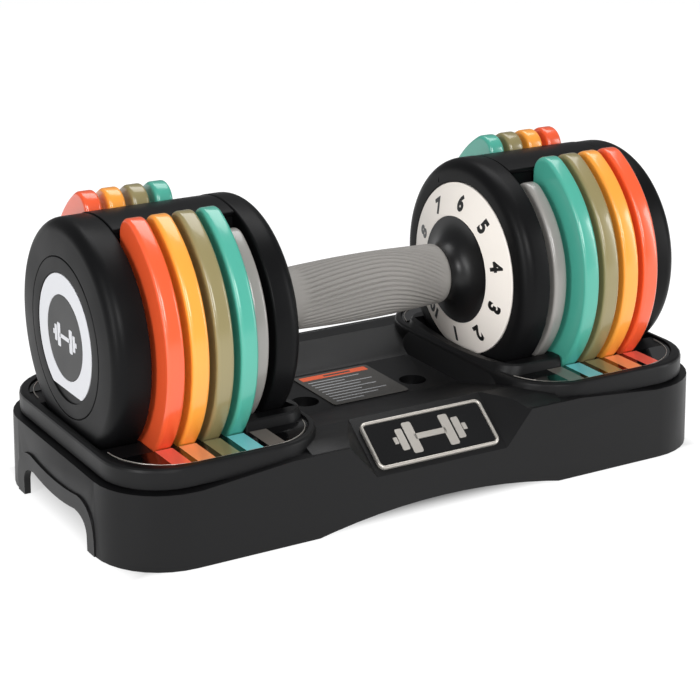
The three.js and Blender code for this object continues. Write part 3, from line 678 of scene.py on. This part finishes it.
def block(name, low, high):
    """A box between two corners."""
    points = [(x, y, z) for x in (low[0], high[0]) for y in (low[1], high[1]) for z in (low[2], high[2])]
    faces = [(0, 1, 3, 2), (4, 5, 7, 6), (0, 1, 5, 4), (2, 3, 7, 6), (0, 2, 6, 4), (1, 3, 7, 5)]
    return solid_mesh(name, points, faces)


# Moulded nylon: nearly black, with a finer grain than the tray's and a duller shine.
case_plastic = fine_grained(
    "nylon_fine_grain", "#0f0f10", 0.4, 0.6, 0.018, Specular_IOR_Level=0.1
)
WINDOW, CUP_WALL, CUP_BORE = 51, 3, 10
LOCK_SLOT_X, LOCK_SLOT_HALF = (79.1, 83.9), 3.4
SPRING_SEAT_X, SPRING_SEAT_HALF, SPRING_SEAT_BELOW = 79.7, 4, (20.5, 17.5)
POINTER_ANGLE = radians(121)  # from the front towards the top
POINTER_HALF, POINTER_BASE, POINTER_TIP = 2.6, 57.6, 53.2
for side, sx in SIDES:
    low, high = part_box(f"inner_disc_{side}")
    near, far = sorted((abs(low.x) / MM, abs(high.x) / MM))
    radius = (high.z - low.z) / 2 / MM
    cup = rounded(
        [
            (near, WINDOW, 0.6),
            (near, radius, 8.0),
            (far, radius, 1.4),
            (far, CUP_BORE, 0.3),
            (far - CUP_WALL, CUP_BORE, 0.3),
            (far - CUP_WALL, WINDOW, 1.0),
        ],
        10,
    )
    disc = turned(f"head_disc_{side}", sx, cup)
    # The lock slider runs in a slot through the disc's lower edge. Its spring bears on a seat by the axle.
    slot_x = sorted(sx * x for x in LOCK_SLOT_X)
    slot = block(
        "slot",
        (slot_x[0], -LOCK_SLOT_HALF, AXIS - radius - 2),
        (slot_x[1], LOCK_SLOT_HALF, AXIS - WINDOW + 2),
    )
    disc = carved(disc, slot)
    seat_x = sorted((sx * SPRING_SEAT_X, sx * (far - CUP_WALL + 0.5)))
    seat_low, seat_high = (AXIS - below for below in SPRING_SEAT_BELOW)
    spring_seat = block(
        "seat", (seat_x[0], -SPRING_SEAT_HALF, seat_low), (seat_x[1], SPRING_SEAT_HALF, seat_high)
    )
    # The pointer's tip is 0.35 mm proud. Its base lies further back, where the disc's edge starts to round.
    out = Vector((0, -cos(POINTER_ANGLE), sin(POINTER_ANGLE)))
    across = Vector((1, 0, 0)).cross(out)
    pointer_points = []
    for level in (near - 0.35, near + 2.5):
        for a, r, set_back in (
            (-POINTER_HALF, POINTER_BASE, 0.55),
            (POINTER_HALF, POINTER_BASE, 0.55),
            (0, POINTER_TIP, 0),
        ):
            point = across * a + out * r
            pointer_points.append((sx * (level + set_back), point.y, AXIS + point.z))
    faces = [(0, 1, 2), (3, 4, 5), (0, 1, 4, 3), (1, 2, 5, 4), (2, 0, 3, 5)]
    pointer = solid_mesh("pointer", pointer_points, faces)
    disc = joined(f"head_disc_{side}", [disc, spring_seat, pointer])
    add_piece(disc, "handle_frame", "case_plastic", case_plastic, f"inner_disc_{side}")

# ---------------------------------------------------------------- end caps
# A moulded cap screwed over the axle's nut, with a soft outer edge, a fine groove round its middle and a
# shallow seat. In the seat lies a satin ring label with a flat lower edge, round a black plate with a mark.
ring_print = fine_grained("satin_pale_film", "#cfd0d4", 0.33, FILM_GRAIN, FILM_RELIEF)
label_black = fine_grained("black_film_fine_grain", "#141415", 0.42, 0.5, 0.01)
SEAT_RADIUS, SEAT_DEPTH, GROOVE_RADIUS, GROOVE_WIDTH, GROOVE_DEPTH = 35.2, 0.9, 43.4, 0.55, 0.8
NUT_RADIUS, NUT_DEPTH, AXLE_RADIUS = 12, 12, 6.6
RING_OUTER, RING_INNER, RING_FLAT, RING_THICK, RING_STEPS = 34.6, 23.3, 29.2, (0.1, 0.75), 192
CAP_MARK_WIDTH = 31
for side, sx in SIDES:
    low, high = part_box(f"end_cap_{side}")
    near, face = sorted((abs(low.x) / MM, abs(high.x) / MM))
    radius = (high.z - low.z) / 2 / MM
    cap_outline = rounded(
        [
            (near, AXLE_RADIUS, 0),
            (near, radius, 0.9),
            (face - 1.1, radius, 7.5),
            (face - 0.25, GROOVE_RADIUS + 3, 4),
            (face - 0.1, GROOVE_RADIUS + GROOVE_WIDTH, 0.35),
            (face - 0.1 - GROOVE_DEPTH, GROOVE_RADIUS + GROOVE_WIDTH / 2, 0.1),
            (face, GROOVE_RADIUS - GROOVE_WIDTH / 2, 0.35),
            (face, SEAT_RADIUS, 0.4),
            (face - SEAT_DEPTH, SEAT_RADIUS, 0.2),
            (face - SEAT_DEPTH, NUT_RADIUS, 0),
            (face - NUT_DEPTH, NUT_RADIUS, 0),
            (face - NUT_DEPTH, AXLE_RADIUS, 0),
        ],
        8,
    )
    cap = turned(f"head_cap_{side}", sx, cap_outline, sharp_above=50)
    add_piece(cap, "handle_frame", "case_plastic", case_plastic, f"end_cap_{side}")

    # Seen from outside: across points to the viewer's right, and up is +Z.
    seat = Matrix(
        ((0, 0, sx, sx * (face - SEAT_DEPTH)), (sx, 0, 0, 0), (0, 1, 0, AXIS), (0, 0, 0, 1))
    )
    ring_points = []
    for k in range(RING_STEPS):
        angle = 2 * pi * k / RING_STEPS - pi / 2
        inner = (RING_INNER * cos(angle), RING_INNER * sin(angle))
        outer = (RING_OUTER * cos(angle), RING_OUTER * sin(angle))
        if outer[1] < -RING_FLAT:
            outer = (outer[0] * -RING_FLAT / outer[1], -RING_FLAT)
        back, front = RING_THICK
        for edge, level in ((inner, back), (outer, back), (outer, front), (inner, front)):
            ring_points.append(seat @ Vector((*edge, level)))
    ring = solid_mesh(f"cap_ring_{side}", ring_points, walls(RING_STEPS, 4, closed=True))
    add_piece(ring, "handle_frame", "label_print", ring_print, f"cap_label_{side}")
    middle = arc(0, 0, RING_INNER - 0.2, 0, 2 * pi, 96)[:-1]
    plate = tiles(f"cap_middle_{side}", [middle], 0.1, 0.7, seat, 0.15)
    add_piece(plate, "handle_frame", "label_print", label_black)
    mark = tiles(f"cap_mark_{side}", dumbbell_mark(CAP_MARK_WIDTH), 0.65, 0.8, seat)
    add_piece(mark, "handle_frame", "label_print", ring_print)

# ---------------------------------------------------------------- bridges and spines
# A curved cover runs from disc to cap over the plates' slots, clipped into both with a fine seam. Under it
# an open channel ties the head together.
COVER_RADIUS, COVER_THICK, COVER_HALF_WIDTH, COVER_CHAMFER = 63.8, 2.8, 19.6, 0.3
for side, sx in SIDES:
    low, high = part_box(f"bridge_{side}")
    near, far = sorted((abs(low.x) / MM, abs(high.x) / MM))
    half_angle = atan2(COVER_HALF_WIDTH, sqrt(COVER_RADIUS**2 - COVER_HALF_WIDTH**2))
    outer_arc = arc(0, 0, COVER_RADIUS, pi / 2 - half_angle, pi / 2 + half_angle, 24)
    inner_arc = arc(0, 0, COVER_RADIUS - COVER_THICK, pi / 2 + half_angle, pi / 2 - half_angle, 24)
    stations = (
        (near, COVER_CHAMFER),
        (near + COVER_CHAMFER, 0),
        (far - COVER_CHAMFER, 0),
        (far, COVER_CHAMFER),
    )
    points = []
    for x, drop in stations:
        shrink = 1 - drop / COVER_RADIUS
        points += [(sx * x, y * shrink, AXIS + z * shrink) for y, z in outer_arc]
        points += [(sx * x, y, AXIS + z) for y, z in inner_arc]
    count = len(points) // len(stations)
    ends = [tuple(range(count)), tuple(range(3 * count, 4 * count))]
    cover = solid_mesh(f"bridge_cover_{side}", points, ends + walls(len(stations), count), 30)
    rim = cover.modifiers.new("soft_edges", "BEVEL")
    rim.limit_method = "ANGLE"
    rim.angle_limit = radians(50)
    rim.width = 0.5 * MM
    rim.segments = 3
    add_piece(cover, "handle_frame", "case_plastic", case_plastic, f"bridge_{side}")
    use_material(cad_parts[f"spine_{side}"], case_plastic)

# ---------------------------------------------------------------- grip
# A moulded rubber sleeve over the steel tube. It swells to the middle, and fine flutes flow along it in
# long waves, fading out before both ends.
GRIP_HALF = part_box("grip")[1].x / MM
GRIP_END, GRIP_MIDDLE, GRIP_BORE = 17.2, 18.9, 14.3
GRIP_STATIONS, GRIP_END_ROUND, GRIP_ROUND_FROM = 110, 0.9, 0.97
FLUTES, FLUTE_DEPTH, FLUTE_WIDTH = 40, 0.95, 0.17

FLUTE_SIZES = ("Axis Height", "Half Length", "Flutes", "Depth", "Width")
flute_tree = node_group("flutes", FLUTE_SIZES)
flute_in = add_node(flute_tree, "NodeGroupInput")
flute_at = add_node(flute_tree, "GeometryNodeInputPosition")
flute_xyz = add_node(flute_tree, "ShaderNodeSeparateXYZ", inputs={"Vector": flute_at.outputs[0]})
value = {size: flute_in.outputs[size] for size in FLUTE_SIZES}
value.update({axis: flute_xyz.outputs[axis] for axis in "XYZ"})
# A point's share of the way from the middle to an end. The flutes fade out before both ends.
share = add_node(
    flute_tree,
    "ShaderNodeMath",
    {"operation": "DIVIDE"},
    {0: value["X"], 1: value["Half Length"]},
)
value["share"] = share.outputs[0]
for fade, gone_at, full_at in (("left fade", -0.9, -0.72), ("right fade", 0.97, 0.8)):
    fading = add_node(
        flute_tree,
        "ShaderNodeMapRange",
        {"interpolation_type": "SMOOTHSTEP"},
        {"Value": value["share"], "From Min": gone_at, "From Max": full_at},
    )
    value[fade] = fading.outputs[0]
# Each row is one Math node: its result's name, its operation and its terms.
for result, operation, *terms in (
    ("height", "SUBTRACT", "Z", "Axis Height"),
    ("front", "MULTIPLY", "Y", -1.0),
    ("angle", "ARCTAN2", "height", "front"),
    # The wave rises by about a flute's width to past the middle, then falls away quickly to the right end.
    ("wave place", "MULTIPLY_ADD", "share", 1.43, 1.14),
    ("swell", "SINE", "wave place"),
    ("past middle", "SUBTRACT", "share", 0.05),
    ("fall", "MAXIMUM", "past middle", 0.0),
    ("fall squared", "POWER", "fall", 2.0),
    ("drop", "MULTIPLY", "fall squared", -1.0),
    ("wave", "MULTIPLY_ADD", "swell", 0.3, "drop"),
    # Each flute is a groove with a bell-shaped section: e to the power of minus its slope squared.
    ("turned by", "SUBTRACT", "angle", "wave"),
    ("per radian", "DIVIDE", "Flutes", 2 * pi),
    ("flute number", "MULTIPLY", "turned by", "per radian"),
    ("phase", "FRACT", "flute number"),
    ("off centre", "SUBTRACT", "phase", 0.5),
    ("away", "ABSOLUTE", "off centre"),
    ("slope", "DIVIDE", "away", "Width"),
    ("slope squared", "POWER", "slope", 2.0),
    ("exponent", "MULTIPLY", "slope squared", -1.0),
    ("groove", "POWER", 2.718, "exponent"),
    # Only the outer skin is fluted: the bore keeps its size.
    ("height squared", "POWER", "height", 2.0),
    ("front squared", "POWER", "front", 2.0),
    ("radius squared", "ADD", "height squared", "front squared"),
    ("radius", "SQRT", "radius squared"),
    ("skin", "GREATER_THAN", "radius", (GRIP_BORE + 1.5) * MM),
    ("fade", "MULTIPLY", "left fade", "right fade"),
    ("faded groove", "MULTIPLY", "groove", "fade"),
    ("amount", "MULTIPLY", "faded groove", "skin"),
    ("depth here", "MULTIPLY", "amount", "Depth"),
    ("inward", "MULTIPLY", "depth here", -1.0),
):
    term_inputs = {i: value.get(term, term) for i, term in enumerate(terms)}
    step = add_node(flute_tree, "ShaderNodeMath", {"operation": operation}, term_inputs)
    value[result] = step.outputs[0]
normal = add_node(flute_tree, "GeometryNodeInputNormal")
offset = add_node(
    flute_tree,
    "ShaderNodeVectorMath",
    {"operation": "SCALE"},
    {0: normal.outputs[0], "Scale": value["inward"]},
)
flute_set = add_node(
    flute_tree,
    "GeometryNodeSetPosition",
    inputs={"Geometry": flute_in.outputs["Geometry"], "Offset": offset.outputs[0]},
)
end_tree(flute_tree, flute_in, flute_set.outputs[0])

# Moulded thermoplastic rubber: warm grey and matt, with a fine dry grain.
grip_rubber = fine_grained("moulded_tpe_rubber", "#85827e", 0.6, 0.35, 0.02)
grip_profile = [(-GRIP_HALF, GRIP_BORE)]
for k in range(GRIP_STATIONS + 1):
    s = -1 + 2 * k / GRIP_STATIONS
    swelling = (GRIP_MIDDLE - GRIP_END) * cos(s * pi / 2)
    rounding = GRIP_END_ROUND * max(0, (abs(s) - GRIP_ROUND_FROM) / (1 - GRIP_ROUND_FROM)) ** 2
    grip_profile.append((s * GRIP_HALF, GRIP_END + swelling - rounding))
grip_profile.append((GRIP_HALF, GRIP_BORE))
grip = turned("grip_sleeve", 1, grip_profile, segments=400)
grip = apply_nodes(
    grip,
    flute_tree,
    {
        "Axis Height": AXIS * MM,
        "Half Length": GRIP_HALF * MM,
        "Flutes": float(FLUTES),
        "Depth": FLUTE_DEPTH * MM,
        "Width": FLUTE_WIDTH,
        "Material": grip_rubber,
    },
)
smooth(grip.data, 50)
add_piece(grip, "selector", "grip_rubber", grip_rubber, "grip")

# ---------------------------------------------------------------- dial hubs
# A semi-gloss moulded hub flares from the grip to the dial in one quarter of an ellipse. The steel tube of
# the grip sits in its neck.
hub_plastic = fine_grained("abs_semi_gloss", "#0f0f10", 0.4, 0.6, 0.008, Specular_IOR_Level=0.35)
NECK_RADIUS, NECK_ROUND, FLARE_FROM, FLARE_TO, FLARE_STEPS = 15.9, 0.5, 54.2, 65.4, 24
TUBE_SOCKET, HUB_BORE, SOCKET_END = 14.7, 9.4, 56.6
for side, sx in SIDES:
    low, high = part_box(f"dial_hub_{side}")
    neck_x, back_x = sorted((abs(low.x) / MM, abs(high.x) / MM))
    hub_radius = (high.z - low.z) / 2 / MM
    hub_profile = [
        (neck_x, TUBE_SOCKET),
        (neck_x, NECK_RADIUS - NECK_ROUND),
        (neck_x + NECK_ROUND, NECK_RADIUS),
    ]
    for k in range(FLARE_STEPS + 1):
        t = pi / 2 * k / FLARE_STEPS
        flare_x = FLARE_FROM + (FLARE_TO - FLARE_FROM) * sin(t)
        hub_profile.append((flare_x, hub_radius - (hub_radius - NECK_RADIUS) * cos(t)))
    hub_profile += [(back_x, hub_radius), (back_x, HUB_BORE)]
    hub_profile += [(SOCKET_END, HUB_BORE), (SOCKET_END, TUBE_SOCKET)]
    hub = turned(f"trumpet_hub_{side}", sx, hub_profile)
    add_piece(hub, "selector", "hub_plastic", hub_plastic, f"dial_hub_{side}")

# ---------------------------------------------------------------- dials
# A shallow white cone on each side carries the figures 1 to 10 in black, their tops outwards, 36 degrees
# apart. Both dials read the same setting at the pointer.
dial_white = fine_grained("warm_white_abs", "#efe8e0", 0.38, 0.5, 0.006)
figure_ink = fine_grained("black_pad_print", "#0d0d0d", 0.4, FILM_GRAIN, FILM_RELIEF)
SETTING_SHOWN, SETTING_STEP, SHOWN_AT = 7, radians(36), radians(124)
DIAL_INNER, DIAL_THICK = 31.6, 2.0
FIGURE_SIZE, FIGURE_BOLDER, FIGURE_THICK, FIGURE_NARROWED, FIGURE_RADIUS = 12.4, 0.62, 0.06, 0.92, 39.4
for side, sx in SIDES:
    low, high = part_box(f"dial_ring_{side}")
    near, far = sorted((abs(low.x) / MM, abs(high.x) / MM))
    outer_radius = (high.z - low.z) / 2 / MM
    cone = (far - DIAL_THICK - near) / (outer_radius - DIAL_INNER)
    ring_outline = rounded(
        [
            (near, DIAL_INNER, 0),
            (far - DIAL_THICK, outer_radius, 0.5),
            (far, outer_radius, 0.3),
            (near + DIAL_THICK, DIAL_INNER, 0),
        ],
        5,
    )
    dial = turned(f"dial_{side}", sx, ring_outline)
    add_piece(dial, "selector", "dial_white", dial_white, f"dial_ring_{side}")

    figures = []
    for setting in range(1, 11):
        text = bpy.data.curves.new(f"figure_{setting}", "FONT")
        text.body = str(setting)
        text.align_x = "CENTER"
        text.align_y = "CENTER"
        text.size = FIGURE_SIZE
        text.offset = FIGURE_BOLDER
        text.extrude = FIGURE_THICK
        text.resolution_u = 4
        holder = bpy.data.objects.new("figure", text)
        scene.collection.objects.link(holder)
        evaluated = holder.evaluated_get(bpy.context.evaluated_depsgraph_get())
        mesh = bpy.data.meshes.new_from_object(evaluated)
        bpy.data.objects.remove(holder)
        turn = SHOWN_AT + SETTING_STEP * (setting - SETTING_SHOWN)
        radial = Vector((0, -cos(turn), sin(turn)))
        up = (radial + Vector((sx * cone, 0, 0))).normalized()
        facing = Vector((-sx, 0, 0)) + radial * cone
        facing.normalize()
        right = up.cross(facing)
        figure_x = sx * (near + cone * (FIGURE_RADIUS - DIAL_INNER))
        centre = radial * FIGURE_RADIUS + Vector((figure_x, 0, AXIS)) + facing * 0.05
        place = Matrix.Identity(4)
        for axis, column in enumerate((right, up, facing, centre)):
            for row in range(3):
                place[row][axis] = column[row]
        mesh.transform(Matrix.Scale(MM, 4) @ place @ Matrix.Diagonal((FIGURE_NARROWED, 1, 1, 1)))
        figures.append(bpy.data.objects.new("figure", mesh))
    numbers = joined(f"dial_figures_{side}", figures)
    add_piece(numbers, "selector", "dial_white", figure_ink)

# ---------------------------------------------------------------- weight plates
# Each plate is a thick steel disc dipped in gloss enamel. A slot open at the top lets the shaft drop in,
# and every edge is a full soft round. A tab on its outer face hooks on the selector disc.
SLOT_HALF, SLOT_BOTTOM, SLOT_CORNER = 20.6, 16, 12
TAB_HALF, TAB_INNER, TAB_OUTER = 3, 17, 21
FILLET, FILLET_STEPS = 2.1, 6
ENAMEL = {
    "grey": "#8f8c88",
    "teal": "#4aa592",
    "olive": "#8b8058",
    "orange": "#f6a03c",
    "red": "#ea5a30",
}


def enamel(name, colour):
    """Dipped gloss enamel: a clear skin with a faint orange peel, a few millimetres from crest to crest."""
    peel_mm, cloud_mm, darkest = 2.6, 40, 0.93
    made, tree, shader = new_material(
        name, colour, 0.3, Coat_Weight=0.55, Coat_Roughness=0.11, Coat_IOR=1.5
    )
    place = add_node(tree, "ShaderNodeTexCoord")
    peel = add_node(
        tree,
        "ShaderNodeTexNoise",
        inputs={"Vector": place.outputs["Object"], "Scale": 1 / (peel_mm * MM), "Detail": 1.0},
    )
    bump = add_node(
        tree,
        "ShaderNodeBump",
        inputs={"Height": peel.outputs["Fac"], "Strength": 0.5, "Distance": 0.008 * MM},
    )
    tree.links.new(bump.outputs["Normal"], shader.inputs["Normal"])
    tree.links.new(bump.outputs["Normal"], shader.inputs["Coat Normal"])
    cloud = add_node(
        tree,
        "ShaderNodeTexNoise",
        inputs={"Vector": place.outputs["Object"], "Scale": 1 / (cloud_mm * MM), "Detail": 2.0},
    )
    red, green, blue, alpha = linear(colour)
    darker = (red * darkest, green * darkest, blue * darkest, alpha)
    tone = add_node(
        tree,
        "ShaderNodeMix",
        {"data_type": "RGBA"},
        {"Factor": cloud.outputs["Fac"], 6: linear(colour), 7: darker},
    )
    tree.links.new(tone.outputs[2], shader.inputs["Base Color"])
    return made


def plate_outline(radius, corner, inset):
    """The plate's edge in (y, z) about its own centre, or a line that runs inside it at a distance."""
    corner_y = SLOT_HALF + corner
    corner_z = sqrt((radius - corner) ** 2 - corner_y**2)
    horn = atan2(corner_z, corner_y)
    slot_y, slot_z = SLOT_HALF - SLOT_CORNER, SLOT_CORNER - SLOT_BOTTOM
    return (
        arc(corner_y, corner_z, corner - inset, horn, pi, 18)
        + arc(slot_y, slot_z, SLOT_CORNER + inset, 0, -pi / 2, 12)
        + arc(-slot_y, slot_z, SLOT_CORNER + inset, -pi / 2, -pi, 12)
        + arc(-corner_y, corner_z, corner - inset, 0, pi - horn, 18)
        + arc(0, 0, radius - inset, pi - horn, 2 * pi + horn, 120)[1:-1]
    )


for colour_name, tint in ENAMEL.items():
    paint = enamel(f"{colour_name}_gloss_enamel", tint)
    for side, sx in SIDES:
        low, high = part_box(f"plate_{colour_name}_{side}")
        radius = (high.y - low.y) / 2 / MM
        corner = 10 if colour_name == "grey" else 10.8
        centre_z = low.z / MM + radius
        tab_proud = 1.3 if colour_name == "red" else 2.0
        near, far = sorted((abs(low.x) / MM, abs(high.x) / MM))
        far -= tab_proud
        # The fillet from the edge to the face: how far in from the edge, and how deep under the face.
        fillet = []
        for k in range(FILLET_STEPS + 1):
            angle = pi / 2 * k / FILLET_STEPS
            fillet.append((FILLET * (1 - cos(angle)), FILLET * (1 - sin(angle))))
        face_inset = FILLET + 0.5
        rows = [(near, face_inset)] + [(near + depth, inset) for inset, depth in reversed(fillet)]
        rows += [(far - depth, inset) for inset, depth in fillet] + [(far, face_inset)]
        points = []
        for x, inset in rows:
            points += [(sx * x, y, centre_z + z) for y, z in plate_outline(radius, corner, inset)]
        count = len(points) // len(rows)
        ends = [tuple(range(count)), tuple(range(len(points) - count, len(points)))]
        slab = solid_mesh("slab", points, ends + walls(len(rows), count))
        tab_place = Matrix(((0, 0, sx, 0), (1, 0, 0, 0), (0, 1, 0, AXIS), (0, 0, 0, 1)))
        tab_middle = (0, -(TAB_INNER + TAB_OUTER) / 2)
        tab_outline = rounded_box(TAB_HALF, (TAB_OUTER - TAB_INNER) / 2, 0.6, tab_middle)
        tab = tiles("tab", [tab_outline], far - 1, far + tab_proud, tab_place, 0.3)
        weight = joined(f"weight_{colour_name}_{side}", [slab, tab])
        add_piece(
            weight,
            f"plate_{colour_name}_{side}",
            f"paint_{colour_name}",
            paint,
            f"plate_{colour_name}_{side}",
        )
